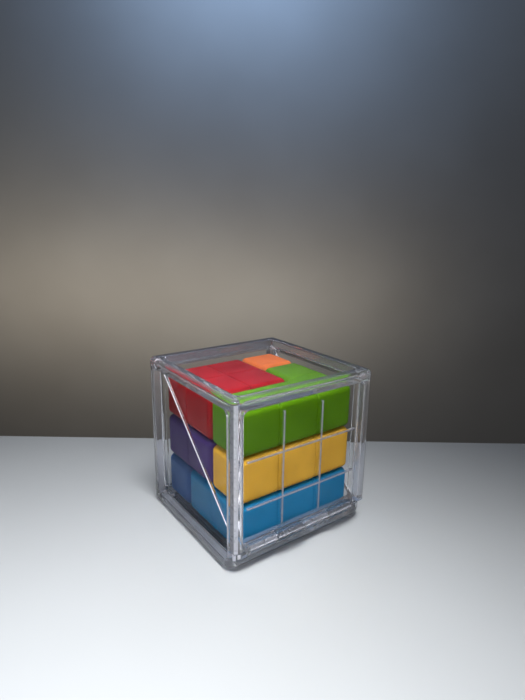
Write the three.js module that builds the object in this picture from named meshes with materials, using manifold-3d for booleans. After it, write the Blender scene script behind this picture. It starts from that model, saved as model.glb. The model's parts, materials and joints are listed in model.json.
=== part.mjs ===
// A 3 x 3 x 3 block puzzle of seven coloured plastic pieces in a clear hinged display case.
// Millimetres, +Z up. The origin is the middle of the case's footprint, on the table.
// The case's hinge runs along its front bottom edge, on the -Y side.

import * as THREE from 'three';
import { mergeVertices } from 'three/addons/utils/BufferGeometryUtils.js';
import Module from 'manifold-3d';

const wasm = await Module();
wasm.setup();

// ---------------------------------------------------------------- driving sizes

const CELL = 20;
const CELLS_PER_EDGE = 3;
const BLOCK = CELL * CELLS_PER_EDGE;
const SKIN_GAP = 0.15; // every puzzle piece stands this far inside its own cells

const CASE_WALL = 1.6;
const CASE_RECESS = 3.7; // each panel lies this far inside the rim around it
const CASE_RIM = 4.9; // width of the rim on each face
const SIDE_PLAY = 0.6; // between the block's cells and the case, all round
const TOP_PLAY = 1.85;

// ---------------------------------------------------------------- sizes worked out from them

const INNER = BLOCK + 2 * SIDE_PLAY;
const OUTER = INNER + 2 * (CASE_WALL + CASE_RECESS);
const HALF = OUTER / 2;
const FLOOR_Z = CASE_RECESS + CASE_WALL;
const BLOCK_Z = FLOOR_Z + SKIN_GAP;
const CEILING_Z = BLOCK_Z + BLOCK + TOP_PLAY;
const HEIGHT = CEILING_Z + CASE_WALL + CASE_RECESS;
const PAST = 10; // how far a cutter reaches past what it cuts

const CURVE_STEPS = 4; // steps in a quarter turn of an outline
const KNUCKLE_SIDES = 24;
const PIN_SIDES = 20;
const MAGNET_SIDES = 14;

// ---------------------------------------------------------------- shapes and solids

const X = new THREE.Vector3(1, 0, 0);
const Y = new THREE.Vector3(0, 1, 0);
const Z = new THREE.Vector3(0, 0, 1);

// Turns a shape that is drawn flat and extruded up so that it is extruded along another axis.
// Along x the shape's own axes become y and z, and along y they become z and x.
const ALONG = {
  x: new THREE.Matrix4().makeBasis(Y, Z, X),
  y: new THREE.Matrix4().makeBasis(Z, X, Y),
  z: new THREE.Matrix4(),
};

function solidFrom(geometry) {
  const bare = geometry.clone();
  bare.deleteAttribute('normal');
  bare.deleteAttribute('uv');
  const merged = mergeVertices(bare, 1e-4);
  const mesh = new wasm.Mesh({
    numProp: 3,
    vertProperties: Float32Array.from(merged.attributes.position.array),
    triVerts: Uint32Array.from(merged.index.array),
  });
  return new wasm.Manifold(mesh);
}

function geometryFrom(solid) {
  const mesh = solid.getMesh();
  const geometry = new THREE.BufferGeometry();
  geometry.setAttribute('position', new THREE.BufferAttribute(mesh.vertProperties, 3));
  geometry.setIndex(new THREE.BufferAttribute(mesh.triVerts, 1));
  geometry.computeVertexNormals();
  return geometry;
}

function joined(solids) {
  return solids.reduce((whole, solid) => whole.add(solid));
}

function cut(solid, cutters) {
  return cutters.reduce((rest, cutter) => rest.subtract(cutter), solid);
}

function boxSolid(low, high) {
  const geometry = new THREE.BoxGeometry(high[0] - low[0], high[1] - low[1], high[2] - low[2]);
  geometry.translate((low[0] + high[0]) / 2, (low[1] + high[1]) / 2, (low[2] + high[2]) / 2);
  return solidFrom(geometry);
}

// A flat shape extruded along an axis from one place to another, with its edges rounded.
function prismSolid(shape, axis, from, to, edge = 0, edgeSteps = 2) {
  const geometry = new THREE.ExtrudeGeometry(shape, {
    depth: to - from - 2 * edge,
    curveSegments: CURVE_STEPS,
    bevelEnabled: edge > 0,
    bevelThickness: edge,
    bevelSize: edge,
    bevelOffset: -edge,
    bevelSegments: edgeSteps,
  });
  geometry.translate(0, 0, from + edge);
  geometry.applyMatrix4(ALONG[axis]);
  return solidFrom(geometry);
}

function roundedRectangle(lowU, highU, lowV, highV, radius) {
  const shape = new THREE.Shape();
  shape.moveTo(lowU + radius, lowV);
  shape.absarc(highU - radius, lowV + radius, radius, -Math.PI / 2, 0);
  shape.absarc(highU - radius, highV - radius, radius, 0, Math.PI / 2);
  shape.absarc(lowU + radius, highV - radius, radius, Math.PI / 2, Math.PI);
  shape.absarc(lowU + radius, lowV + radius, radius, Math.PI, 1.5 * Math.PI);
  return shape;
}

// A round bar along x.
function barSolid(radius, fromX, toX, y, z, sides) {
  const geometry = new THREE.CylinderGeometry(radius, radius, toX - fromX, sides);
  geometry.rotateZ(Math.PI / 2);
  geometry.translate((fromX + toX) / 2, y, z);
  return solidFrom(geometry);
}

// ---------------------------------------------------------------- materials

const CLEAR = { color: 0xd9dde6, roughness: 0.05, metalness: 0, transparent: true, opacity: 0.3 };
const STEEL = { color: 0xb8babd, roughness: 0.25, metalness: 1 };
const NICKEL = { color: 0x9a9ca0, roughness: 0.3, metalness: 1 };

const object = new THREE.Group();

function addPart(name, solid, look) {
  const mesh = new THREE.Mesh(geometryFrom(solid), new THREE.MeshStandardMaterial(look));
  mesh.name = name;
  object.add(mesh);
}

// ---------------------------------------------------------------- the clear case

const CASE_EDGE = 2; // rounding of the case's outer edges
const CASE_EDGE_STEPS = 3;
const CASE_CORNER = 2.6; // rounding of its four upright corners, in plan; more than CASE_EDGE
const POCKET_CORNER = 2.5;

const KNUCKLE_RADIUS = 2.4;
const KNUCKLE_CLEARANCE = 0.3;
const HINGE_Y = -HALF + KNUCKLE_RADIUS;
const HINGE_Z = 8.9;
const HINGE_LENGTH = 56;
const KNUCKLE_COUNT = 4;
const KNUCKLE_SPACING = 0.4;
const PIN_RADIUS = 0.8;
const PIN_HOLE_RADIUS = 0.95;
const PIN_SET_BACK = 0.5; // how far the pin's ends lie inside the outer knuckles
const PIN_HOLE_OVERRUN = 1; // how far the cut for the pin runs past them

const SEAM_GAP = 0.4;
const LID_FOOT_RISE = 1.5;
const BASE_TOP_DROP = 0.4;
const BASE_FRONT_REACH = 1.1; // well under the foot's rise: the lid's feet swing past in front
const LID_FOOT_Z = HINGE_Z + LID_FOOT_RISE; // lower end of the lid's front corners
const BASE_TOP_Z = HINGE_Z - BASE_TOP_DROP; // upper side of the base's front wall
const BASE_FRONT_Y = HINGE_Y - BASE_FRONT_REACH;
const BASE_FRONT_ROUND = 6.5;

const RIB_WIDTH = 1.2;
const RIB_HEIGHT = 0.8;
const RIB_END = 2.5; // how far the ribs stop short of the lid's foot and the block's left and top

// The pocket that leaves one face's panel lying inside its rim.
// side is -1 for the low face along the axis and 1 for the high one.
function facePocket(axis, side) {
  const alongHeight = [CASE_RIM, HEIGHT - CASE_RIM];
  const across = [-HALF + CASE_RIM, HALF - CASE_RIM];
  const spans = { x: [across, alongHeight], y: [alongHeight, across], z: [across, across] };
  const [u, v] = spans[axis];
  const low = axis === 'z' ? 0 : -HALF;
  const high = axis === 'z' ? HEIGHT : HALF;
  const from = side < 0 ? low - PAST : high - CASE_RECESS;
  const to = side < 0 ? low + CASE_RECESS : high + PAST;
  return prismSolid(roundedRectangle(u[0], u[1], v[0], v[1], POCKET_CORNER), axis, from, to);
}

// The lid's front pocket has no lower rim: it runs down past the lid's foot.
function frontPocket() {
  const side = HALF - CASE_RIM;
  const shape = roundedRectangle(-PAST, HEIGHT - CASE_RIM, -side, side, POCKET_CORNER);
  return prismSolid(shape, 'y', -HALF - PAST, -HALF + CASE_RECESS);
}

function caseWalls() {
  const plan = roundedRectangle(-HALF, HALF, -HALF, HALF, CASE_CORNER);
  const outside = prismSolid(plan, 'z', 0, HEIGHT, CASE_EDGE, CASE_EDGE_STEPS);
  const inside = boxSolid([-INNER / 2, -INNER / 2, FLOOR_Z], [INNER / 2, INNER / 2, CEILING_Z]);
  const pockets = [
    facePocket('x', -1),
    facePocket('x', 1),
    facePocket('y', 1),
    facePocket('z', -1),
    facePocket('z', 1),
  ];
  return cut(outside, [inside, ...pockets]);
}

// The case parts on a slope from the hinge up to the back top edge.
const SEAM_SLOPE = (HEIGHT - HINGE_Z) / (HALF - HINGE_Y);
const SEAM_RISE = (SEAM_GAP / 2) * Math.hypot(1, SEAM_SLOPE);

function seamZ(y, side) {
  return HINGE_Z + SEAM_SLOPE * (y - HINGE_Y) + side * SEAM_RISE;
}

function seamY(z, side) {
  return HINGE_Y + (z - HINGE_Z - side * SEAM_RISE) / SEAM_SLOPE;
}

// The region above the seam, as seen from the side, with y and z as the shape's axes.
function lidRegion() {
  const back = HALF + PAST;
  const shape = new THREE.Shape();
  shape.moveTo(-HALF - PAST, LID_FOOT_Z);
  shape.lineTo(seamY(LID_FOOT_Z, 1), LID_FOOT_Z);
  shape.lineTo(back, seamZ(back, 1));
  shape.lineTo(-HALF - PAST, seamZ(back, 1));
  return prismSolid(shape, 'x', -HALF - PAST, HALF + PAST);
}

// The region below the seam. Its front bottom edge is rounded, so that the lid can swing past it.
function baseRegion() {
  const back = HALF + PAST;
  const round = BASE_FRONT_ROUND;
  const shape = new THREE.Shape();
  shape.moveTo(BASE_FRONT_Y, BASE_TOP_Z);
  shape.absarc(BASE_FRONT_Y + round, round, round, Math.PI, 1.5 * Math.PI);
  shape.lineTo(BASE_FRONT_Y + round, -PAST);
  shape.lineTo(back, -PAST);
  shape.lineTo(back, seamZ(back, -1));
  shape.lineTo(seamY(BASE_TOP_Z, -1), BASE_TOP_Z);
  return prismSolid(shape, 'x', -HALF - PAST, HALF + PAST);
}

// The knuckles take turns along the hinge, starting with one of the lid's on the left.
function knuckleSpans(owner) {
  const pitch = HINGE_LENGTH / KNUCKLE_COUNT;
  const spans = [];
  for (let index = 0; index < KNUCKLE_COUNT; index += 1) {
    if ((index % 2 === 0) === (owner === 'lid')) {
      const from = -HINGE_LENGTH / 2 + index * pitch;
      spans.push([from, from + pitch]);
    }
  }
  return spans;
}

function knuckles(owner) {
  const trim = KNUCKLE_SPACING / 2;
  return knuckleSpans(owner).map(([from, to]) =>
    barSolid(KNUCKLE_RADIUS, from + trim, to - trim, HINGE_Y, HINGE_Z, KNUCKLE_SIDES));
}

// Room in one half of the case for the other half's knuckles.
function knuckleRoom(owner) {
  const trim = KNUCKLE_SPACING / 2;
  const radius = KNUCKLE_RADIUS + KNUCKLE_CLEARANCE;
  return knuckleSpans(owner).map(([from, to]) =>
    barSolid(radius, from - trim, to + trim, HINGE_Y, HINGE_Z, KNUCKLE_SIDES));
}

function pinHole() {
  const end = HINGE_LENGTH / 2 + PIN_HOLE_OVERRUN;
  return barSolid(PIN_HOLE_RADIUS, -end, end, HINGE_Y, HINGE_Z, PIN_SIDES);
}

// Thin ribs on the lid's front panel, in line with the joints between the block's cells.
function frontRibs() {
  const panelY = -HALF + CASE_RECESS;
  const front = panelY - RIB_HEIGHT;
  const root = panelY + CASE_WALL / 2;
  const top = BLOCK_Z + BLOCK - RIB_END;
  const bottom = LID_FOOT_Z + RIB_END;
  const left = -BLOCK / 2 + RIB_END;
  const ribs = [];
  for (let line = 1; line < CELLS_PER_EDGE; line += 1) {
    const x = -BLOCK / 2 + line * CELL;
    const z = BLOCK_Z + line * CELL;
    ribs.push(boxSolid([x - RIB_WIDTH / 2, front, bottom], [x + RIB_WIDTH / 2, root, top]));
    ribs.push(boxSolid([left, front, z - RIB_WIDTH / 2], [BLOCK / 2, root, z + RIB_WIDTH / 2]));
  }
  return ribs;
}

function makeLid(walls) {
  const panelled = walls.subtract(frontPocket()).intersect(lidRegion());
  const cleared = cut(panelled, knuckleRoom('base'));
  return joined([cleared, ...frontRibs(), ...knuckles('lid')]).subtract(pinHole());
}

function makeBase(walls) {
  const cleared = cut(walls.intersect(baseRegion()), knuckleRoom('lid'));
  return joined([cleared, ...knuckles('base')]).subtract(pinHole());
}

function makeHingePin() {
  const end = HINGE_LENGTH / 2 - PIN_SET_BACK;
  return barSolid(PIN_RADIUS, -end, end, HINGE_Y, HINGE_Z, PIN_SIDES);
}

// ---------------------------------------------------------------- the seven puzzle pieces

const PIECE_EDGE = 2.2; // rounding of a piece's outer edges
const PIECE_CORNER = 2.6;
const GROOVE_DEPTH = 0.45; // shallow groove where two cells of one piece meet
const SHELL_FLOOR = 1.8;
const SHELL_WALL = 3.75;
const CAP_THICKNESS = 1.5;
const CAP_INSET = 3.1; // from the cells' sides to the cap
const CAP_CORNER = 1;
const CAP_GAP = 0.3;
const CELL_POCKET_CORNER = 1.5;
const MAGNET_RADIUS = 4;
const MAGNET_HEIGHT = 3;
const MAGNET_GAP = 0.3;

// Cells count from 0 along x, y and z, from the left, the front and the bottom.
// Each piece is one cell thick along its flat axis, and its cap closes the low or high side.
const PIECES = [
  {
    name: 'green', color: 0x5fa514, flat: 'z', cap: 'low',
    cells: [[0, 0, 2], [1, 0, 2], [2, 0, 2], [2, 1, 2]],
  },
  {
    name: 'red', color: 0xa81c22, flat: 'z', cap: 'low',
    cells: [[0, 1, 2], [1, 1, 2], [0, 2, 2], [1, 2, 2]],
  },
  {
    name: 'yellow', color: 0xd79a1e, flat: 'z', cap: 'low',
    cells: [[0, 0, 1], [1, 0, 1], [2, 0, 1], [1, 1, 1]],
  },
  {
    name: 'light_blue', color: 0x1f7fae, flat: 'z', cap: 'high',
    cells: [[0, 0, 0], [1, 0, 0], [2, 0, 0], [0, 1, 0]],
  },
  {
    name: 'purple', color: 0x432266, flat: 'z', cap: 'low',
    cells: [[0, 1, 1], [0, 2, 1], [1, 2, 1]],
  },
  {
    name: 'dark_blue', color: 0x2c4a86, flat: 'z', cap: 'high',
    cells: [[0, 2, 0], [1, 2, 0], [2, 2, 0], [1, 1, 0]],
  },
  {
    name: 'orange', color: 0xe87034, flat: 'x', cap: 'low',
    cells: [[2, 2, 2], [2, 2, 1], [2, 1, 1], [2, 1, 0]],
  },
];

// Where the block's low corner is along each axis.
const BLOCK_START = { x: -BLOCK / 2, y: -BLOCK / 2, z: BLOCK_Z };

// The axes that a piece's flat shape is drawn on, in the order that ALONG uses.
const DRAWN_ON = { x: ['y', 'z'], y: ['z', 'x'], z: ['x', 'y'] };

function cellIndex(cell, axis) {
  return cell[['x', 'y', 'z'].indexOf(axis)];
}

function flatCells(piece) {
  const [uAxis, vAxis] = DRAWN_ON[piece.flat];
  return piece.cells.map((cell) => [cellIndex(cell, uAxis), cellIndex(cell, vAxis)]);
}

function hasCell(cells, u, v) {
  return cells.some((cell) => cell[0] === u && cell[1] === v);
}

// The corners of the outline round a set of cells, counter-clockwise, in cell units.
function outlineCorners(cells) {
  const sides = [
    { from: [0, 0], along: [1, 0] },
    { from: [1, 0], along: [0, 1] },
    { from: [1, 1], along: [-1, 0] },
    { from: [0, 1], along: [0, -1] },
  ];
  const edges = new Map();
  for (const [u, v] of cells) {
    for (const { from, along } of sides) {
      const outward = [along[1], -along[0]];
      if (!hasCell(cells, u + outward[0], v + outward[1])) {
        edges.set(`${u + from[0]},${v + from[1]}`, { point: [u + from[0], v + from[1]], along });
      }
    }
  }
  const ordered = [];
  let edge = edges.values().next().value;
  while (ordered.length < edges.size) {
    ordered.push(edge);
    edge = edges.get(`${edge.point[0] + edge.along[0]},${edge.point[1] + edge.along[1]}`);
  }
  const corners = ordered.map((next, index) => {
    const before = ordered[(index + ordered.length - 1) % ordered.length];
    const turn = before.along[0] * next.along[1] - before.along[1] * next.along[0];
    return { point: next.point, before: before.along, after: next.along, turn };
  });
  return corners.filter((corner) => corner.turn !== 0);
}

// A piece's outline, moved in from its cells' sides, with its outward corners rounded.
function pieceShape(piece, inset, radius) {
  const [uAxis, vAxis] = DRAWN_ON[piece.flat];
  const shape = new THREE.Shape();
  outlineCorners(flatCells(piece)).forEach(({ point, before, after, turn }, index) => {
    const u = BLOCK_START[uAxis] + point[0] * CELL - inset * (before[1] + after[1]);
    const v = BLOCK_START[vAxis] + point[1] * CELL + inset * (before[0] + after[0]);
    const reach = turn > 0 ? radius : 0;
    const start = [u - before[0] * reach, v - before[1] * reach];
    if (index === 0) {
      shape.moveTo(start[0], start[1]);
    } else {
      shape.lineTo(start[0], start[1]);
    }
    if (reach > 0) {
      const centre = [start[0] + after[0] * reach, start[1] + after[1] * reach];
      const angle = Math.atan2(-after[1], -after[0]);
      shape.absarc(centre[0], centre[1], reach, angle, angle + Math.PI / 2);
    }
  });
  return shape;
}

function thicknessSpan(piece) {
  const low = BLOCK_START[piece.flat] + cellIndex(piece.cells[0], piece.flat) * CELL;
  return [low + SKIN_GAP, low + CELL - SKIN_GAP];
}

// The span along the flat axis from the capped side inwards, between two depths.
function spanFromCap(piece, near, far) {
  const [low, high] = thicknessSpan(piece);
  return piece.cap === 'low' ? [low + near, low + far] : [high - far, high - near];
}

// A groove's cutter: a square bar on its corner, along one of the shape's axes or its depth.
function grooveBar(piece, centre, direction, length) {
  const side = GROOVE_DEPTH * Math.SQRT2;
  const geometry = new THREE.BoxGeometry(side, side, length);
  geometry.rotateZ(Math.PI / 4);
  geometry.applyMatrix4(ALONG[direction]);
  geometry.translate(centre[0], centre[1], centre[2]);
  geometry.applyMatrix4(ALONG[piece.flat]);
  return solidFrom(geometry);
}

// Grooves round the joint between each pair of neighbouring cells, where the joint shows.
function pieceGrooves(piece) {
  const cells = flatCells(piece);
  const [uAxis, vAxis] = DRAWN_ON[piece.flat];
  const start = [BLOCK_START[uAxis], BLOCK_START[vAxis]];
  const [low, high] = thicknessSpan(piece);
  const bars = [];
  for (const [u, v] of cells) {
    for (const across of [0, 1]) {
      const step = across === 0 ? [1, 0] : [0, 1];
      const side = across === 0 ? [0, 1] : [1, 0];
      if (!hasCell(cells, u + step[0], v + step[1])) {
        continue;
      }
      const joint = start[across] + ((across === 0 ? u : v) + 1) * CELL;
      const middle = start[1 - across] + ((across === 0 ? v : u) + 0.5) * CELL;
      const place = (offset) => (across === 0 ? [joint, middle + offset] : [middle + offset, joint]);
      for (const depth of [low, high]) {
        bars.push(grooveBar(piece, [...place(0), depth], across === 0 ? 'y' : 'x', CELL));
      }
      for (const way of [-1, 1]) {
        const besideFirst = hasCell(cells, u + way * side[0], v + way * side[1]);
        const besideSecond = hasCell(cells, u + step[0] + way * side[0], v + step[1] + way * side[1]);
        if (!besideFirst && !besideSecond) {
          const offset = way * (CELL / 2 - SKIN_GAP);
          bars.push(grooveBar(piece, [...place(offset), (low + high) / 2], 'z', CELL));
        }
      }
    }
  }
  return bars;
}

function cellCentre(piece, cell) {
  const [uAxis, vAxis] = DRAWN_ON[piece.flat];
  return [
    BLOCK_START[uAxis] + (cellIndex(cell, uAxis) + 0.5) * CELL,
    BLOCK_START[vAxis] + (cellIndex(cell, vAxis) + 0.5) * CELL,
  ];
}

function cellPocket(piece, cell) {
  const [u, v] = cellCentre(piece, cell);
  const half = CELL / 2 - SHELL_WALL;
  const depth = CELL - 2 * SKIN_GAP - SHELL_FLOOR;
  const [from, to] = spanFromCap(piece, -PAST, depth);
  const shape = roundedRectangle(u - half, u + half, v - half, v + half, CELL_POCKET_CORNER);
  return prismSolid(shape, piece.flat, from, to);
}

function makeShell(piece) {
  const [low, high] = thicknessSpan(piece);
  const body = prismSolid(pieceShape(piece, SKIN_GAP, PIECE_CORNER), piece.flat, low, high, PIECE_EDGE);
  const [seatFrom, seatTo] = spanFromCap(piece, -PAST, CAP_THICKNESS + CAP_GAP);
  const seatShape = pieceShape(piece, CAP_INSET - CAP_GAP, CAP_CORNER);
  const seat = prismSolid(seatShape, piece.flat, seatFrom, seatTo);
  const pockets = piece.cells.map((cell) => cellPocket(piece, cell));
  return cut(body, [seat, ...pockets, ...pieceGrooves(piece)]);
}

function makeCap(piece) {
  const [from, to] = spanFromCap(piece, 0, CAP_THICKNESS);
  return prismSolid(pieceShape(piece, CAP_INSET, CAP_CORNER), piece.flat, from, to);
}

function makeMagnet(piece, cell) {
  const [u, v] = cellCentre(piece, cell);
  const deepest = CELL - 2 * SKIN_GAP - SHELL_FLOOR - MAGNET_GAP;
  const [from, to] = spanFromCap(piece, deepest - MAGNET_HEIGHT, deepest);
  const geometry = new THREE.CylinderGeometry(MAGNET_RADIUS, MAGNET_RADIUS, MAGNET_HEIGHT, MAGNET_SIDES);
  geometry.rotateX(Math.PI / 2);
  geometry.translate(u, v, (from + to) / 2);
  geometry.applyMatrix4(ALONG[piece.flat]);
  return solidFrom(geometry);
}

// ---------------------------------------------------------------- the whole object

const walls = caseWalls();
addPart('case_base', makeBase(walls), CLEAR);
addPart('case_lid', makeLid(walls), CLEAR);
addPart('hinge_pin', makeHingePin(), STEEL);

for (const piece of PIECES) {
  const look = { color: piece.color, roughness: 0.22, metalness: 0 };
  addPart(`${piece.name}_shell`, makeShell(piece), look);
  addPart(`${piece.name}_cap`, makeCap(piece), look);
  piece.cells.forEach((cell, index) => {
    addPart(`${piece.name}_magnet_${index + 1}`, makeMagnet(piece, cell), NICKEL);
  });
}

export default object;
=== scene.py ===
"""A block cube puzzle of seven coloured pieces in a clear hinged case, in metres, +Z up.

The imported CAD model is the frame: places and sizes are read from its nodes, and the fine
surfaces made here ride on its bodies. The hinge runs along the case's front bottom edge (-Y).
"""

import itertools
import json
import math

import bpy
import numpy as np
from mathutils import Euler, Matrix, Vector

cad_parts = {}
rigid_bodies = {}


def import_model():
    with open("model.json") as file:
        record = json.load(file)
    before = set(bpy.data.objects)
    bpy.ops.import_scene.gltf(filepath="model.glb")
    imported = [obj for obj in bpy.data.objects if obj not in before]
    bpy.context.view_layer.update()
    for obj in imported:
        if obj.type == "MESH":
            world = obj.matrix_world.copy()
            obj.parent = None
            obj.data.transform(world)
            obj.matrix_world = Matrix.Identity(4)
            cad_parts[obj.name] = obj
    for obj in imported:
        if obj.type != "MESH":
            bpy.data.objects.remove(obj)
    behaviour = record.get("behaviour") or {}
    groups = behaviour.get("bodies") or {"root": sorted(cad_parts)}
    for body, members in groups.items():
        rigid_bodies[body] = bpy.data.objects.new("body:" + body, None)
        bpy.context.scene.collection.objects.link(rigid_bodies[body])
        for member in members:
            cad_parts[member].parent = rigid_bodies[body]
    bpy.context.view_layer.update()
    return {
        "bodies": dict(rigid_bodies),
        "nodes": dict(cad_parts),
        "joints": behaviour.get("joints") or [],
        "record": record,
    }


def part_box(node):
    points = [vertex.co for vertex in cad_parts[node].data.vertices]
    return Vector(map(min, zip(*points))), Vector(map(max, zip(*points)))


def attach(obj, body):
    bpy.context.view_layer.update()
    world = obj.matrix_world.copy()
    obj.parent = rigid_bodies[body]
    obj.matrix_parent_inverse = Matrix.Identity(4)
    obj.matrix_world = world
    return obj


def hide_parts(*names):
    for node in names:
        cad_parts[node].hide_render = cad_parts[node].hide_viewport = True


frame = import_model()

MM = 0.001

# ------------------------------------------------------------------ sizes from the frame

PIECE_NAMES = [body for body in frame["bodies"] if body not in ("base", "lid")]

CASE_LOW = Vector(map(min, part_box("case_base")[0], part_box("case_lid")[0]))
CASE_HIGH = Vector(map(max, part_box("case_base")[1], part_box("case_lid")[1]))
HALF = (CASE_HIGH.x - CASE_LOW.x) / 2
HEIGHT = CASE_HIGH.z

# The green piece is three cells wide and two deep, and stands a little inside its cells.
GREEN_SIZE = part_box("green_shell")[1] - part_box("green_shell")[0]
CELL = GREEN_SIZE.x - GREEN_SIZE.y
SKIN_GAP = (3 * CELL - GREEN_SIZE.x) / 2
BLOCK_LOW = Vector((-1.5 * CELL, -1.5 * CELL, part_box("light_blue_shell")[0].z - SKIN_GAP))

# ------------------------------------------------------------------ mesh helpers


def new_object(name, mesh):
    obj = bpy.data.objects.new(name, mesh)
    bpy.context.scene.collection.objects.link(obj)
    return obj


def mesh_from(name, points, faces):
    mesh = bpy.data.meshes.new(name)
    mesh.from_pydata([tuple(point) for point in points], [], faces)
    mesh.update()
    return mesh


def loft(name, loops):
    """A closed mesh through loops of points that all have the same length."""
    count = len(loops[0])
    points = [point for loop in loops for point in loop]
    faces = [tuple(reversed(range(count)))]
    for ring in range(len(loops) - 1):
        for index in range(count):
            after = (index + 1) % count
            low = ring * count
            high = low + count
            faces.append((low + index, low + after, high + after, high + index))
    last = (len(loops) - 1) * count
    faces.append(tuple(range(last, last + count)))
    return mesh_from(name, points, faces)


# Places flat (u, v) points and a depth w along an axis, without mirroring them.
ALONG = {
    "x": lambda u, v, w: (w, u, v),
    "y": lambda u, v, w: (v, w, u),
    "z": lambda u, v, w: (u, v, w),
}


def rounded_loop(span_u, span_v, radius, low_v_radius=None, steps=8):
    """Points round a rectangle with rounded corners, which may differ on its low-v side."""
    low = radius if low_v_radius is None else low_v_radius
    corners = [
        (span_u[1] - low, span_v[0] + low, low, -90),
        (span_u[1] - radius, span_v[1] - radius, radius, 0),
        (span_u[0] + radius, span_v[1] - radius, radius, 90),
        (span_u[0] + low, span_v[0] + low, low, 180),
    ]
    points = []
    for centre_u, centre_v, size, first in corners:
        for step in range(steps + 1):
            angle = math.radians(first + 90 * step / steps)
            points.append((centre_u + size * math.cos(angle), centre_v + size * math.sin(angle)))
    return points


def quarter(steps):
    """Angles through a quarter turn, in radians."""
    return [math.pi / 2 * step / steps for step in range(steps + 1)]


def boolean(target, cutters, operation):
    """Joins or cuts the target with each cutter in turn, and removes the cutters."""
    for cutter in cutters:
        modifier = target.modifiers.new("cut", "BOOLEAN")
        modifier.operation = operation
        modifier.solver = "EXACT"
        modifier.object = cutter
        graph = bpy.context.evaluated_depsgraph_get()
        made = bpy.data.meshes.new_from_object(target.evaluated_get(graph))
        target.modifiers.clear()
        old = target.data
        target.data = made
        bpy.data.meshes.remove(old)
        bpy.data.objects.remove(cutter)
    return target


def shade(obj, sharp_degrees=32):
    """Smooth shading that keeps flat faces flat and sharp edges sharp."""
    obj.data.shade_smooth()
    obj.data.set_sharp_from_angle(angle=math.radians(sharp_degrees))
    modifier = obj.modifiers.new("flat faces stay flat", "WEIGHTED_NORMAL")
    modifier.keep_sharp = True
    modifier.weight = 80


# ------------------------------------------------------------------ the clear case

CASE_WALL = 1.6 * MM
CASE_RECESS = 3.7 * MM
CASE_RIM = 4.9 * MM
CASE_EDGE = 2 * MM
CASE_CORNER = 2.6 * MM
BASE_CORNER = 5 * MM
CAVITY_CORNER = 1.2 * MM
POCKET_CORNER = 2.5 * MM
MOUTH_ROUND = 0.7 * MM
POCKET_FILLET = 0.6 * MM
CAVITY_ROUND = 0.8 * MM
PAST = 10 * MM

INNER_HALF = HALF - CASE_RECESS - CASE_WALL
FLOOR_Z = CASE_RECESS + CASE_WALL
CEILING_Z = HEIGHT - CASE_RECESS - CASE_WALL

HINGE = next(joint for joint in frame["joints"] if joint["name"] == "lid_hinge")
HINGE_Y = HINGE["pos_m"][1]
HINGE_Z = HINGE["pos_m"][2]
KNUCKLE_RADIUS = HINGE_Y + HALF
KNUCKLE_CLEARANCE = 0.3 * MM
KNUCKLE_SPACING = 0.4 * MM
KNUCKLE_COUNT = 4
KNUCKLE_BEVEL = 0.3 * MM
PIN_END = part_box("hinge_pin")[1].x
PIN_RADIUS = (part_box("hinge_pin")[1].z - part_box("hinge_pin")[0].z) / 2
PIN_HOLE_RADIUS = PIN_RADIUS + 0.15 * MM
HINGE_LENGTH = 2 * PIN_END + 1 * MM

SEAM_GAP = 0.4 * MM
SEAM_CHAMFER = 0.35 * MM
LID_FOOT_Z = HINGE_Z + 1.5 * MM
BASE_TOP_Z = HINGE_Z - 0.4 * MM
BASE_FRONT_Y = HINGE_Y - 1.1 * MM
BASE_FRONT_ROUND = 6.5 * MM

RIB_WIDTH = 1.2 * MM
RIB_HEIGHT = 0.8 * MM
RIB_TAPER = 0.8 * MM
RIB_CROWN = 0.55
RIB_END = 2.5 * MM


def edge_inset(z):
    """How far the case's sides draw in at a height, where its top and bottom edges are rounded."""
    to_end = max(0, min(z, HEIGHT - z))
    drop = max(0, CASE_EDGE - to_end)
    return CASE_EDGE - math.sqrt(CASE_EDGE**2 - drop**2)


def base_front(z):
    """Where the base's front lies at a height: it curves back under the hinge to the table."""
    drop = max(0, BASE_FRONT_ROUND - z)
    return BASE_FRONT_Y + BASE_FRONT_ROUND - math.sqrt(BASE_FRONT_ROUND**2 - drop**2)


def outer_heights(round_below):
    """Heights for the outside's loops, close together where its ends curve."""
    low = [round_below * (1 - math.cos(angle)) for angle in quarter(16)]
    low += [CASE_EDGE * (1 - math.cos(angle)) for angle in quarter(8)]
    high = [HEIGHT - CASE_EDGE * (1 - math.cos(angle)) for angle in quarter(8)]
    return sorted({round(z, 7) for z in low + high})


def outer_block(owner):
    """The outside of the lid or of the base: a box with every edge and corner rounded."""
    is_base = owner == "base"
    rings = []
    for z in outer_heights(BASE_FRONT_ROUND if is_base else CASE_EDGE):
        inset = edge_inset(z)
        edge = HALF - inset
        front = max(-edge, base_front(z)) if is_base else -edge
        front_radius = (BASE_CORNER if is_base else CASE_CORNER) - inset
        flat = rounded_loop((-edge, edge), (front, edge), CASE_CORNER - inset, front_radius, 12)
        rings.append([(u, v, z) for u, v in flat])
    return new_object("case", loft("case", rings))


def cavity_block():
    """The room inside the case, with small fillets along its edges."""
    rings = []
    levels = [(CAVITY_ROUND * (1 - math.sin(a)), CAVITY_ROUND * (1 - math.cos(a))) for a in quarter(4)]
    heights = [(inset, FLOOR_Z + z) for inset, z in levels]
    heights += [(inset, CEILING_Z - z) for inset, z in reversed(levels)]
    for inset, z in heights:
        edge = INNER_HALF - inset
        flat = rounded_loop((-edge, edge), (-edge, edge), CAVITY_CORNER - inset, steps=4)
        rings.append([(u, v, z) for u, v in flat])
    return new_object("cavity", loft("cavity", rings))


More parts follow.
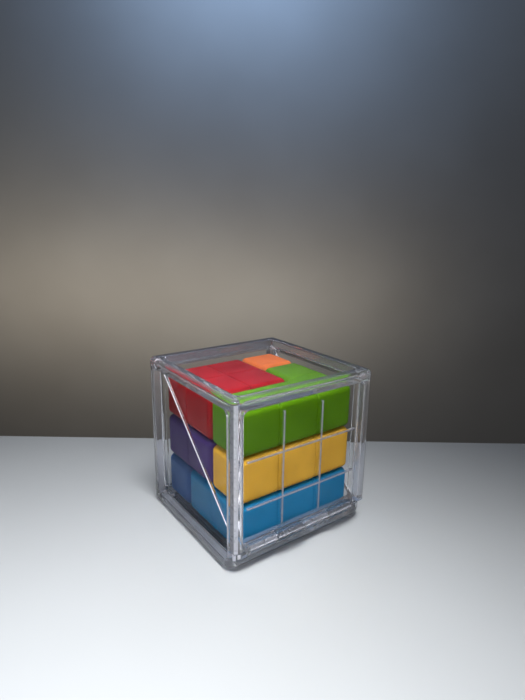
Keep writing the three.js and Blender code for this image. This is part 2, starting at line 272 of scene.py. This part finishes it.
def pocket_levels():
    """Depth below the face, and how far the pocket's wall stands outwards there."""
    levels = [(-PAST, MOUTH_ROUND)]
    for angle in quarter(6):
        levels.append((MOUTH_ROUND * (1 - math.cos(angle)), MOUTH_ROUND * (1 - math.sin(angle))))
    start = CASE_RECESS - POCKET_FILLET
    for angle in quarter(5):
        levels.append((start + POCKET_FILLET * math.sin(angle), -POCKET_FILLET * (1 - math.cos(angle))))
    return levels


def pocket(axis, side, span_u, span_v):
    """The cutter that sinks one face's panel inside its rim."""
    face = {"x": HALF, "y": HALF, "z": HEIGHT if side > 0 else 0}[axis]
    rings = []
    for depth, out in pocket_levels():
        place = side * (face - depth) if axis != "z" else face - side * depth
        grown_u = (span_u[0] - out, span_u[1] + out)
        grown_v = (span_v[0] - out, span_v[1] + out)
        flat = rounded_loop(grown_u, grown_v, POCKET_CORNER + out)
        rings.append([ALONG[axis](u, v, place) for u, v in flat])
    if side > 0:
        rings.reverse()
    return new_object("pocket", loft("pocket", rings))


ACROSS = (-HALF + CASE_RIM, HALF - CASE_RIM)
UPRIGHT = (CASE_RIM, HEIGHT - CASE_RIM)


def side_prism(outline):
    """A (y, z) outline carried right across the case along x, used only to cut."""
    rings = [[(x, y, z) for y, z in outline] for x in (-HALF - PAST, HALF + PAST)]
    return new_object("cutter", loft("cutter", rings))


SEAM_SLOPE = (HEIGHT - HINGE_Z) / (HALF - HINGE_Y)
SEAM_RISE = SEAM_GAP / 2 * math.hypot(1, SEAM_SLOPE)
SEAM_NORMAL = Vector((0, -SEAM_SLOPE, 1)).normalized()


def seam_z(y, side):
    return HINGE_Z + SEAM_SLOPE * (y - HINGE_Y) + side * SEAM_RISE


def seam_y(z, side):
    return HINGE_Y + (z - HINGE_Z - side * SEAM_RISE) / SEAM_SLOPE


def seam_grooves():
    """The cutters that chamfer the seam's edges on the outsides of the two side panels."""
    along = Vector((0, 1, SEAM_SLOPE)).normalized()
    reach = SEAM_GAP / 2 + SEAM_CHAMFER
    low_end = Vector((0, HINGE_Y, HINGE_Z)) + along * CASE_RIM
    high_end = Vector((0, HALF, HEIGHT)) - along * CASE_RIM
    grooves = []
    for side in (-1, 1):
        surface = Vector((side * (HALF - CASE_RECESS), 0, 0))
        outline = [
            surface - Vector((side * SEAM_CHAMFER, 0, 0)) - SEAM_NORMAL * (SEAM_GAP / 2),
            surface + Vector((side * SEAM_CHAMFER, 0, 0)) - SEAM_NORMAL * (reach + SEAM_CHAMFER),
            surface + Vector((side * SEAM_CHAMFER, 0, 0)) + SEAM_NORMAL * (reach + SEAM_CHAMFER),
            surface - Vector((side * SEAM_CHAMFER, 0, 0)) + SEAM_NORMAL * (SEAM_GAP / 2),
        ]
        if side < 0:
            outline.reverse()
        rings = [[end + corner for corner in outline] for end in (low_end, high_end)]
        grooves.append(new_object("groove", loft("groove", rings)))
    return grooves


def lid_region():
    back = HALF + PAST
    return side_prism([
        (-HALF - PAST, LID_FOOT_Z),
        (seam_y(LID_FOOT_Z, 1), LID_FOOT_Z),
        (back, seam_z(back, 1)),
        (-HALF - PAST, seam_z(back, 1)),
    ])


def base_region():
    back = HALF + PAST
    return side_prism([
        (-HALF - PAST, BASE_TOP_Z),
        (-HALF - PAST, -PAST),
        (back, -PAST),
        (back, seam_z(back, -1)),
        (seam_y(BASE_TOP_Z, -1), BASE_TOP_Z),
    ])


def bar_mesh(name, radius, from_x, to_x, bevel=0.0, sides=48):
    """A round bar along the hinge line, with its end edges rounded."""
    stations = [(from_x, radius)] if bevel == 0 else []
    ends = []
    for angle in quarter(3):
        ends.append((bevel * (1 - math.sin(angle)), bevel * (1 - math.cos(angle))))
    if bevel > 0:
        stations += [(from_x + along, radius - inset) for inset, along in ends]
        stations += [(to_x - along, radius - inset) for inset, along in reversed(ends)]
    else:
        stations.append((to_x, radius))
    rings = []
    for x, size in stations:
        ring = []
        for index in range(sides):
            angle = 2 * math.pi * index / sides
            ring.append((x, HINGE_Y + size * math.cos(angle), HINGE_Z + size * math.sin(angle)))
        rings.append(ring)
    return loft(name, rings)


def knuckle_spans(owner):
    pitch = HINGE_LENGTH / KNUCKLE_COUNT
    first = 0 if owner == "lid" else 1
    starts = [-HINGE_LENGTH / 2 + index * pitch for index in range(first, KNUCKLE_COUNT, 2)]
    return [(start, start + pitch) for start in starts]


def knuckles(owner):
    trim = KNUCKLE_SPACING / 2
    return [
        new_object("knuckle", bar_mesh("knuckle", KNUCKLE_RADIUS, low + trim, high - trim, KNUCKLE_BEVEL))
        for low, high in knuckle_spans(owner)
    ]


def knuckle_room(owner):
    trim = KNUCKLE_SPACING / 2
    radius = KNUCKLE_RADIUS + KNUCKLE_CLEARANCE
    return [
        new_object("room", bar_mesh("room", radius, low - trim, high + trim))
        for low, high in knuckle_spans(owner)
    ]


def pin_hole():
    end = HINGE_LENGTH / 2 + 1 * MM
    return new_object("hole", bar_mesh("hole", PIN_HOLE_RADIUS, -end, end, sides=32))


def rib(axis, low, high, across):
    """A bar with a rounded crown on the front panel, upright along z or level along x."""
    panel_y = -HALF + CASE_RECESS
    root_y = panel_y + CASE_WALL / 2
    rings = []
    ends = [(RIB_TAPER * (1 - math.cos(angle)), math.sin(angle)) for angle in quarter(5)[1:]]
    stations = [(low + along, share) for along, share in ends]
    stations += [(high - along, share) for along, share in reversed(ends)]
    for along, share in stations:
        ring = [(-RIB_WIDTH / 2, root_y)]
        for step in range(9):
            angle = math.pi * step / 8
            ring.append((-RIB_WIDTH / 2 * math.cos(angle), panel_y - RIB_HEIGHT * share * math.sin(angle)))
        ring.append((RIB_WIDTH / 2, root_y))
        if axis == "z":
            rings.append([(across + offset, y, along) for offset, y in ring])
        else:
            rings.append([(along, y, across + offset) for offset, y in ring])
    if axis == "z":
        rings.reverse()
    return new_object("rib", loft("rib", rings))


def front_ribs():
    top = BLOCK_LOW.z + 3 * CELL - RIB_END
    bottom = LID_FOOT_Z + RIB_END
    left = -1.5 * CELL + RIB_END
    ribs = []
    for line in (1, 2):
        ribs.append(rib("z", bottom, top, -1.5 * CELL + line * CELL))
        ribs.append(rib("x", left, 1.5 * CELL, BLOCK_LOW.z + line * CELL))
    return ribs


TOUCH = 0.03 * MM
SURFACE_LOOKS = ["rim", "panel", "painted_shade", "painted_highlight", "rib", "seam"]

# How much of a face's normal lies along a direction, for a face that is square to it, one that
# is nearly square, and one that leans at least a little.
SQUARE = 0.99
NEARLY_SQUARE = 0.9
LEANING = 0.1


def on_panel(centre, normal):
    """True on the flat inner and outer sides of the case's six thin panels."""
    sides = [(centre.x, normal.x), (centre.y, normal.y)]
    for place, facing in sides:
        for plane in (HALF - CASE_RECESS, INNER_HALF):
            if abs(facing) > SQUARE and abs(abs(place) - plane) < TOUCH:
                return True
    planes = (CASE_RECESS, FLOOR_Z, CEILING_Z, HEIGHT - CASE_RECESS)
    return abs(normal.z) > SQUARE and any(abs(centre.z - plane) < TOUCH for plane in planes)


def beside_near_post(place, facing, depth):
    """True on a pocket's wall next to the near post, given its place and normal along one axis
    and its place along the axis that the pocket is sunk in."""
    on_wall = facing > NEARLY_SQUARE and abs(place + HALF - CASE_RIM) < POCKET_FILLET
    return on_wall and -HALF < depth < CASE_RECESS - HALF


def near_post_painted_light(centre, normal):
    """The near post gets painted shade on its left half and a painted highlight, the bright table seen
    through it, on its front half. None off the post.
    """
    at_corner = max(centre.x, centre.y) < CASE_CORNER - HALF and abs(normal.z) < LEANING
    if at_corner and max(normal.x, normal.y) < -LEANING:
        return "painted_shade" if normal.x < normal.y else "painted_highlight"
    if beside_near_post(centre.x, normal.x, centre.y):
        return "painted_shade"
    if beside_near_post(centre.y, normal.y, centre.x):
        return "painted_highlight"
    return None


def on_rib(centre, normal):
    """True on the crowns of the ribs that stand on the lid's front panel."""
    panel_y = -HALF + CASE_RECESS
    if normal.y > -RIB_CROWN or not panel_y - RIB_HEIGHT - TOUCH < centre.y < panel_y - TOUCH / 2:
        return False
    across = min(abs(centre.x - line) for line in (-CELL / 2, CELL / 2))
    height = min(abs(centre.z - BLOCK_LOW.z - line * CELL) for line in (1, 2))
    reach = RIB_WIDTH / 2 + TOUCH
    beside_rim = abs(centre.x) > 1.5 * CELL + TOUCH
    return not beside_rim and (across < reach or height < reach)


def on_seam(centre, normal):
    """True on the small chamfers and the cut walls along the seam in the two side panels."""
    offset = (centre - Vector((0, HINGE_Y, HINGE_Z))).dot(SEAM_NORMAL)
    slanted = LEANING < abs(normal.x) < SQUARE
    cut_wall = abs(normal.dot(SEAM_NORMAL)) > SQUARE and abs(centre.x) > INNER_HALF
    return (slanted or cut_wall) and abs(offset) < SEAM_GAP / 2 + SEAM_CHAMFER + TOUCH


def give_faces_looks(obj, materials):
    """Gives each face of the lid or the base the look that its place calls for, with painted light on the
    near post and the seam.
    """
    obj.data.materials.clear()
    for look in SURFACE_LOOKS:
        obj.data.materials.append(materials[look])
    for face in obj.data.polygons:
        # The near post takes painted shade on one half and a painted highlight on the other.
        look = near_post_painted_light(face.center, face.normal) or "rim"
        if on_panel(face.center, face.normal):
            look = "panel"
        elif on_rib(face.center, face.normal):
            look = "rib"
        elif on_seam(face.center, face.normal):
            look = "seam"
        face.material_index = SURFACE_LOOKS.index(look)


def case_walls(owner):
    """The closed case before it is parted: walls round a cavity, with a pocket sunk in each side but the
    front, which only the lid gets.
    """
    cutters = [
        cavity_block(),
        pocket("x", -1, ACROSS, UPRIGHT),
        pocket("x", 1, ACROSS, UPRIGHT),
        pocket("y", 1, UPRIGHT, ACROSS),
        pocket("z", -1, ACROSS, ACROSS),
        pocket("z", 1, ACROSS, ACROSS),
    ]
    return boolean(outer_block(owner), cutters, "DIFFERENCE")


def make_lid():
    lid = case_walls("lid")
    boolean(lid, [pocket("y", -1, (-PAST, UPRIGHT[1]), ACROSS)], "DIFFERENCE")
    boolean(lid, [lid_region()], "INTERSECT")
    boolean(lid, seam_grooves(), "DIFFERENCE")
    boolean(lid, knuckle_room("base"), "DIFFERENCE")
    boolean(lid, front_ribs() + knuckles("lid"), "UNION")
    boolean(lid, [pin_hole()], "DIFFERENCE")
    lid.name = "lid_clear"
    return lid


def make_base():
    base = case_walls("base")
    boolean(base, [base_region()], "INTERSECT")
    boolean(base, seam_grooves(), "DIFFERENCE")
    boolean(base, knuckle_room("lid"), "DIFFERENCE")
    boolean(base, knuckles("base"), "UNION")
    boolean(base, [pin_hole()], "DIFFERENCE")
    base.name = "base_clear"
    return base


# ------------------------------------------------------------------ the puzzle pieces

PIECE_ROUND = 2.8 * MM
GROOVE_HALF_WIDTH = 0.8 * MM
GROOVE_FLAT_DEPTH = 0.3 * MM
GROOVE_EDGE_DEPTH = 0.8 * MM
GROOVE_STEPS = (0.25, 0.5, 0.75, 1)
BEND_ANGLES = range(36, -1, -6)
LEAST_STEP = 0.1 * MM
STEP_PAST_BEND = 1.2 * MM


def piece_cells(name):
    """The cells that a piece fills, counted from the block's low corner, found from its magnets."""
    cells = []
    for node in frame["record"]["behaviour"]["bodies"][name]:
        if "magnet" in node:
            low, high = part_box(node)
            centre = (low + high) / 2 - BLOCK_LOW
            cells.append(tuple(int(value // CELL) for value in centre))
    return cells


def core_boxes(cells):
    """The largest boxes of cells inside the piece, shrunk by the edge rounding and the gap."""
    filled = set(cells)
    spans = [(low, high) for low in range(3) for high in range(low, 3)]
    boxes = []
    for span in itertools.product(spans, repeat=3):
        inside = itertools.product(*[range(low, high + 1) for low, high in span])
        if all(cell in filled for cell in inside):
            boxes.append(span)
    shrink = PIECE_ROUND + SKIN_GAP
    lows = np.array([[low * CELL + shrink for low, high in span] for span in boxes])
    highs = np.array([[(high + 1) * CELL - shrink for low, high in span] for span in boxes])
    return lows, highs


def side_steps():
    """Distances from a cell's side to its middle, close together at grooves and roundings."""
    full = PIECE_ROUND + SKIN_GAP
    groove = [share * GROOVE_HALF_WIDTH for share in GROOVE_STEPS]
    bend = [full * (1 - math.tan(math.radians(angle))) for angle in BEND_ANGLES]
    near = [0.0] + groove + [value for value in bend if value > GROOVE_HALF_WIDTH + LEAST_STEP]
    near += [full + STEP_PAST_BEND, CELL / 2]
    return near + [CELL - value for value in reversed(near[:-1])]


STEPS = side_steps()


def raw_surface(cells):
    """The piece's cells as a closed mesh of small squares, before rounding."""
    filled = set(cells)
    index_of = {}
    points = []
    faces = []

    def index(point):
        key = tuple(round(value * 1e7) for value in point)
        if key not in index_of:
            index_of[key] = len(points)
            points.append(point)
        return index_of[key]

    for cell in cells:
        for axis in range(3):
            for side in (0, 1):
                beyond = list(cell)
                beyond[axis] += 1 if side else -1
                if tuple(beyond) in filled:
                    continue
                u_axis, v_axis = (axis + 1) % 3, (axis + 2) % 3
                grid = []
                for u in STEPS:
                    row = []
                    for v in STEPS:
                        point = [0.0, 0.0, 0.0]
                        point[axis] = (cell[axis] + side) * CELL
                        point[u_axis] = cell[u_axis] * CELL + u
                        point[v_axis] = cell[v_axis] * CELL + v
                        row.append(index(tuple(point)))
                    grid.append(row)
                for i, j in itertools.product(range(len(STEPS) - 1), repeat=2):
                    face = [grid[i][j], grid[i + 1][j], grid[i + 1][j + 1], grid[i][j + 1]]
                    faces.append(face if side else face[::-1])
    return np.array(points), faces


def rounded_points(points, cells):
    """Moves the raw surface in to the rounded one: the nearest core point, plus the rounding."""
    lows, highs = core_boxes(cells)
    nearest = np.clip(points[:, None, :], lows[None], highs[None])
    away = points[:, None, :] - nearest
    distance = np.linalg.norm(away, axis=2)
    best = np.argmin(distance, axis=1)
    rows = np.arange(len(points))
    direction = away[rows, best] / distance[rows, best][:, None]
    return nearest[rows, best] + PIECE_ROUND * direction, direction, distance[rows, best]


def groove_depths(points, cells, distance):
    """How deep the groove between neighbouring cells is at each raw point."""
    filled = set(cells)
    depth = np.zeros(len(points))
    full = PIECE_ROUND + SKIN_GAP
    at_edge = np.clip((distance - full) / (full * (math.sqrt(2) - 1)), 0, 1)
    strength = GROOVE_FLAT_DEPTH + (GROOVE_EDGE_DEPTH - GROOVE_FLAT_DEPTH) * np.sqrt(at_edge)
    for cell in cells:
        for axis in range(3):
            neighbour = list(cell)
            neighbour[axis] += 1
            if tuple(neighbour) not in filled:
                continue
            offset = np.abs(points[:, axis] - (cell[axis] + 1) * CELL)
            beside = np.ones(len(points), bool)
            for other in range(3):
                if other != axis:
                    low = cell[other] * CELL - 1e-6
                    beside &= (points[:, other] >= low) & (points[:, other] <= low + CELL + 2e-6)
            share = np.clip(1 - offset / GROOVE_HALF_WIDTH, 0, 1)
            depth = np.maximum(depth, np.where(beside, share * share * (3 - 2 * share) * strength, 0))
    return depth


def make_piece(name):
    cells = piece_cells(name)
    points, faces = raw_surface(cells)
    placed, direction, distance = rounded_points(points, cells)
    placed = placed - direction * groove_depths(points, cells, distance)[:, None]
    placed = placed + np.array(BLOCK_LOW)
    obj = new_object(name + "_piece", mesh_from(name, placed, faces))
    obj.data.shade_smooth()
    return obj


# ------------------------------------------------------------------ materials

RIM_IOR = 1.59
RIM_CLEARNESS = 0.95
PANEL_IOR = 1.08
PIECE_IOR = 1.5
PIECE_SPECULAR = 0.1


def plain_nodes(name):
    material = bpy.data.materials.new(name)
    material.use_nodes = True
    tree = material.node_tree
    shader = tree.nodes["Principled BSDF"]
    return material, tree, shader


def noise(tree, scale, detail=3.0, roughness=0.5):
    place = tree.nodes.new("ShaderNodeTexCoord")
    texture = tree.nodes.new("ShaderNodeTexNoise")
    texture.inputs["Scale"].default_value = scale
    texture.inputs["Detail"].default_value = detail
    texture.inputs["Roughness"].default_value = roughness
    tree.links.new(place.outputs["Object"], texture.inputs["Vector"])
    return texture.outputs["Fac"]


def ramp(tree, value, stops):
    node = tree.nodes.new("ShaderNodeValToRGB")
    elements = node.color_ramp.elements
    for place, colour in stops[:2]:
        element = elements[0] if place == stops[0][0] else elements[1]
        element.position = place
        element.color = colour
    for place, colour in stops[2:]:
        elements.new(place).color = colour
    tree.links.new(value, node.inputs["Fac"])
    return node.outputs["Color"]


def spread(tree, value, low, high):
    node = tree.nodes.new("ShaderNodeMapRange")
    node.inputs["From Min"].default_value = 0.3
    node.inputs["From Max"].default_value = 0.7
    node.inputs["To Min"].default_value = low
    node.inputs["To Max"].default_value = high
    tree.links.new(value, node.inputs["Value"])
    return node.outputs["Result"]


def bump(tree, shader, value, strength, distance):
    node = tree.nodes.new("ShaderNodeBump")
    node.inputs["Strength"].default_value = strength
    node.inputs["Distance"].default_value = distance
    tree.links.new(value, node.inputs["Height"])
    tree.links.new(node.outputs["Normal"], shader.inputs["Normal"])


def moulded_plastic(name, colour):
    """Glossy opaque plastic: slight mottling in the colour, uneven gloss and a soft ripple."""
    material, tree, shader = plain_nodes(name)
    darker = [value * 0.9 for value in colour] + [1]
    lighter = [min(1, value * 1.06 + 0.004) for value in colour] + [1]
    mottled = ramp(tree, noise(tree, 90, 4), [(0.35, darker), (0.65, lighter)])
    tree.links.new(mottled, shader.inputs["Base Color"])
    tree.links.new(spread(tree, noise(tree, 260, 5, 0.6), 0.16, 0.27), shader.inputs["Roughness"])
    shader.inputs["IOR"].default_value = PIECE_IOR
    shader.inputs["Specular IOR Level"].default_value = PIECE_SPECULAR
    bump(tree, shader, noise(tree, 420, 2), 0.06, 0.0006)
    return material


def facing(tree):
    """Nought where a surface is seen face on, and one where it is seen edge on."""
    weight = tree.nodes.new("ShaderNodeLayerWeight")
    weight.inputs["Blend"].default_value = 0.5
    return weight.outputs["Facing"]


def panel_plastic(name):
    """The thin flat panels: almost no colour, with the faint waviness of a moulding."""
    material, tree, shader = plain_nodes(name)
    stops = [(0.3, (0.965, 0.97, 0.98, 1)), (0.7, (0.985, 0.99, 0.995, 1))]
    tint = ramp(tree, noise(tree, 25, 2), stops)
    tree.links.new(tint, shader.inputs["Base Color"])
    tree.links.new(spread(tree, noise(tree, 300, 4), 0.005, 0.02), shader.inputs["Roughness"])
    shader.inputs["IOR"].default_value = PANEL_IOR
    shader.inputs["Transmission Weight"].default_value = 1
    bump(tree, shader, noise(tree, 60, 1), 0.05, 0.0008)
    return material


def rim_plastic(name):
    """The thick rims: clear where they are seen face on; towards their rounded edges the tint runs through
    painted shade and a lighter painted reflection to a painted dark outline, standing in for refraction.
    """
    material, tree, shader = plain_nodes(name)
    stops = [
        (0.28, (0.88, 0.88, 0.94, 1)),
        (0.44, (0.60, 0.61, 0.65, 1)),
        (0.58, (0.82, 0.81, 0.81, 1)),
        (0.74, (0.04, 0.04, 0.05, 1)),
    ]
    tree.links.new(ramp(tree, facing(tree), stops), shader.inputs["Base Color"])
    tree.links.new(spread(tree, noise(tree, 300, 4), 0.0, 0.012), shader.inputs["Roughness"])
    shader.inputs["IOR"].default_value = RIM_IOR
    shader.inputs["Transmission Weight"].default_value = RIM_CLEARNESS
    return material


def frosted_and_painted_light_plastic(name, colour, transmission, roughness):
    """The case where it is nearly opaque: milky on the ribs, a painted glint in white on the seam's cut
    edges, and painted shade and a painted highlight on the near post.
    """
    material, tree, shader = plain_nodes(name)
    darker = [value * 0.85 for value in colour] + [1]
    mottled = ramp(tree, noise(tree, 200, 3), [(0.3, darker), (0.7, colour + [1])])
    tree.links.new(mottled, shader.inputs["Base Color"])
    uneven = spread(tree, noise(tree, 700, 3), roughness * 0.7, roughness)
    tree.links.new(uneven, shader.inputs["Roughness"])
    shader.inputs["IOR"].default_value = RIM_IOR
    shader.inputs["Transmission Weight"].default_value = transmission
    return material


def case_looks():
    return {
        "rim": rim_plastic("rim with painted edge shade"),
        "panel": panel_plastic("clear panel"),
        # Painted shade and a painted highlight on the two halves of the near post.
        "painted_shade": frosted_and_painted_light_plastic("near post painted shade", [0.24, 0.24, 0.28], 0.08, 0.35),
        "painted_highlight": frosted_and_painted_light_plastic("near post painted highlight", [0.80, 0.80, 0.88], 0.08, 0.35),
        "rib": frosted_and_painted_light_plastic("frosted rib", [0.38, 0.36, 0.41], 0.12, 0.35),
        # The seam's chamfers and cut walls are painted opaque white: a painted glint.
        "seam": frosted_and_painted_light_plastic("seam painted glint", [0.85, 0.85, 0.90], 0.0, 0.2),
    }


def bright_metal(name, colour, roughness):
    material, tree, shader = plain_nodes(name)
    darker = [value * 0.88 for value in colour] + [1]
    mottled = ramp(tree, noise(tree, 500, 3), [(0.3, darker), (0.7, colour + [1])])
    tree.links.new(mottled, shader.inputs["Base Color"])
    uneven = spread(tree, noise(tree, 900, 4), roughness * 0.7, roughness * 1.3)
    tree.links.new(uneven, shader.inputs["Roughness"])
    shader.inputs["Metallic"].default_value = 1
    bump(tree, shader, noise(tree, 1500, 2), 0.05, 0.0002)
    return material


PIECE_COLOURS = {
    "green": [0.085, 0.215, 0.002],
    "red": [0.30, 0.003, 0.006],
    "yellow": [0.74, 0.40, 0.040],
    "light_blue": [0.009, 0.20, 0.42],
    "purple": [0.055, 0.024, 0.15],
    "dark_blue": [0.028, 0.11, 0.32],
    "orange": [0.74, 0.17, 0.040],
}


def paint(obj, material):
    obj.data.materials.clear()
    obj.data.materials.append(material)


# ------------------------------------------------------------------ putting it together


def build_case():
    looks = case_looks()
    for obj, node, body in ((make_lid(), "case_lid", "lid"), (make_base(), "case_base", "base")):
        give_faces_looks(obj, looks)
        shade(obj)
        # The lid casts no shadow, so that enough light reaches the pieces.
        obj.visible_shadow = body == "base"
        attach(obj, body)
        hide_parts(node)


def build_pin():
    pin = new_object("hinge_wire", bar_mesh("hinge_wire", PIN_RADIUS, -PIN_END, PIN_END, 0.2 * MM, 32))
    shade(pin)
    paint(pin, bright_metal("drawn wire", [0.55, 0.56, 0.58], 0.3))
    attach(pin, "base")
    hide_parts("hinge_pin")


def build_pieces():
    plated = bright_metal("nickel plate", [0.62, 0.60, 0.56], 0.22)
    for name in PIECE_NAMES:
        plastic = moulded_plastic(name + " plastic", PIECE_COLOURS[name])
        piece = make_piece(name)
        paint(piece, plastic)
        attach(piece, name)
        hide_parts(name + "_shell")
        for node in frame["record"]["behaviour"]["bodies"][name]:
            if "magnet" in node:
                paint(frame["nodes"][node], plated)
            elif "cap" in node:
                paint(frame["nodes"][node], plastic)


# ------------------------------------------------------------------ the room, the light and the camera

VIEW_HEADING = 36.16
VIEW_PITCH = 15.03
VIEW_ROLL = 0.85
CAMERA_AZIMUTH = 35.57
CAMERA_ELEVATION = 24.9
CAMERA_DISTANCE = 11.82 * CELL
CAMERA_LENS = 25.9
CLEAR_BOUNCES = 24
TABLE_BEHIND = 0.075
TABLE_SIZE = 4
TABLE_CLEAR = 0.02 * MM
WALL_BEHIND = 1.2
WALL_SIZE = 8
KEY_SPREAD = 74
WIDE_SPREAD = 180


def stage_material(name, low, high, scale, roughness):
    material, tree, shader = plain_nodes(name)
    mottled = ramp(tree, noise(tree, scale, 4), [(0.3, low), (0.7, high)])
    tree.links.new(mottled, shader.inputs["Base Color"])
    shader.inputs["Roughness"].default_value = roughness
    return material


def sheet(name, size, material):
    half = size / 2
    corners = [(-half, -half, 0), (half, -half, 0), (half, half, 0), (-half, half, 0)]
    obj = new_object(name, mesh_from(name, corners, [(0, 1, 2, 3)]))
    paint(obj, material)
    return obj


def build_room():
    """A pale table that ends a little way behind the case, and a dim wall far beyond it."""
    heading = math.radians(VIEW_HEADING)
    forward = Vector((math.sin(heading), math.cos(heading), 0))
    pale = stage_material("pale table", (0.60, 0.62, 0.63, 1), (0.64, 0.66, 0.67, 1), 6, 0.5)
    table = sheet("table", TABLE_SIZE, pale)
    middle = forward * (TABLE_BEHIND - TABLE_SIZE / 2) - Vector((0, 0, TABLE_CLEAR))
    table.matrix_world = Matrix.Translation(middle) @ Matrix.Rotation(-heading, 4, "Z")
    dim = stage_material("far wall", (0.17, 0.15, 0.12, 1), (0.24, 0.22, 0.185, 1), 1.2, 0.85)
    wall = sheet("far_wall", WALL_SIZE, dim)
    upright = Euler((math.pi / 2, 0, -heading)).to_matrix().to_4x4()
    wall.matrix_world = Matrix.Translation(forward * WALL_BEHIND) @ upright


def area_light(name, place, aim, width, height, energy, spread_degrees, colour):
    data = bpy.data.lights.new(name, "AREA")
    data.shape = "ELLIPSE"
    data.size = width
    data.size_y = height
    data.energy = energy
    data.spread = math.radians(spread_degrees)
    data.color = colour
    obj = bpy.data.objects.new(name, data)
    bpy.context.scene.collection.objects.link(obj)
    obj.location = place
    obj.rotation_euler = (Vector(aim) - Vector(place)).to_track_quat("-Z", "Y").to_euler()


def build_light():
    centre = (0, 0, HEIGHT / 2)
    front = (-0.145, -0.105, 0)
    lamp_white = (0.97, 0.98, 1.0)
    warm = (1.0, 0.96, 0.9)
    cool = (0.34, 0.55, 1.0)
    daylight = (0.88, 0.94, 1.0)
    area_light("key lamp", (-0.09, -0.13, 0.43), front, 0.22, 0.22, 0.61, KEY_SPREAD, lamp_white)
    area_light("window", (-0.9, 0.5, 0.5), centre, 0.6, 0.6, 0.7, WIDE_SPREAD, daylight)
    area_light("wall lamp", (0.29, 0.91, -0.08), (0.47, 1.15, -0.08), 1.4, 0.1, 2.7, WIDE_SPREAD, warm)
    area_light("cool wall lamp", (0.42, 0.72, 0.85), (0.70, 0.97, 0.75), 0.5, 0.3, 7.5, WIDE_SPREAD, cool)
    world = bpy.data.worlds.new("room")
    bpy.context.scene.world = world
    world.use_nodes = True
    background = world.node_tree.nodes["Background"]
    background.inputs["Color"].default_value = (0.62, 0.64, 0.70, 1)
    background.inputs["Strength"].default_value = 0.16


def set_picture():
    """Plain colours, and enough bounces for light to cross four clear walls."""
    scene = bpy.context.scene
    scene.view_settings.view_transform = "Standard"
    scene.cycles.max_bounces = CLEAR_BOUNCES
    scene.cycles.transmission_bounces = CLEAR_BOUNCES
    scene.cycles.glossy_bounces = CLEAR_BOUNCES


def build_camera():
    data = bpy.data.cameras.new("camera")
    data.lens = CAMERA_LENS
    data.sensor_width = 36
    data.clip_start = 0.005
    data.clip_end = 20
    camera = bpy.data.objects.new("camera", data)
    bpy.context.scene.collection.objects.link(camera)
    azimuth = math.radians(CAMERA_AZIMUTH)
    elevation = math.radians(CAMERA_ELEVATION)
    back = Vector((-math.sin(azimuth) * math.cos(elevation), -math.cos(azimuth) * math.cos(elevation),
                   math.sin(elevation)))
    camera.location = Vector((0, 0, HEIGHT / 2)) + back * CAMERA_DISTANCE
    turn = Matrix.Rotation(-math.radians(VIEW_HEADING), 3, "Z")
    tilt = Matrix.Rotation(math.radians(90 - VIEW_PITCH), 3, "X")
    roll = Matrix.Rotation(math.radians(VIEW_ROLL), 3, "Z")
    camera.rotation_mode = "QUATERNION"
    camera.rotation_quaternion = (turn @ tilt @ roll).to_quaternion()
    bpy.context.scene.camera = camera


build_camera()
build_room()
build_light()
set_picture()
build_case()
build_pin()
build_pieces()
